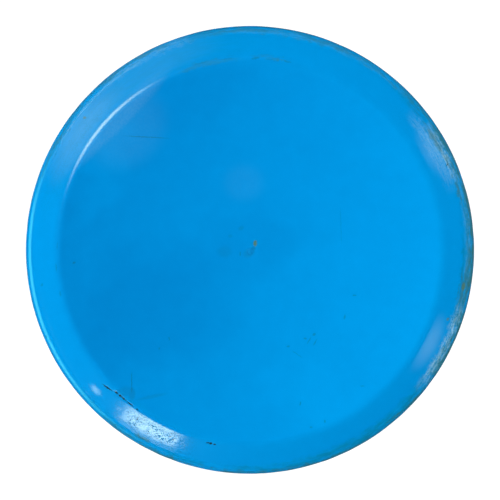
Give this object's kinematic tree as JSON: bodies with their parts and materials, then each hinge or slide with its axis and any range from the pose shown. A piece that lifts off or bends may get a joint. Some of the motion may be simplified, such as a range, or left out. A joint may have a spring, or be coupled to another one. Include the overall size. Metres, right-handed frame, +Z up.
{
  "type": "flying disc",
  "caption": "Round flying disc for throwing and catching: a thin, slightly dished plate, a sloping shoulder and a thick rounded rim round an open hollow underneath.",
  "frame": {"origin": "centre of the flat ring at the foot of the rim, on the surface that the disc rests on", "axes": "+Z up along the disc's axis, from the foot of the rim to the plate; +X and +Y are two directions across the disc"},
  "size_m": [0.23, 0.23, 0.026],
  "materials": {
    "disc_plastic": "glossy blue polyethylene, faded and worn matt in patches by play"
  },
  "bodies": {
    "root": {"disc": "disc_plastic"}
  },
  "joints": []
}
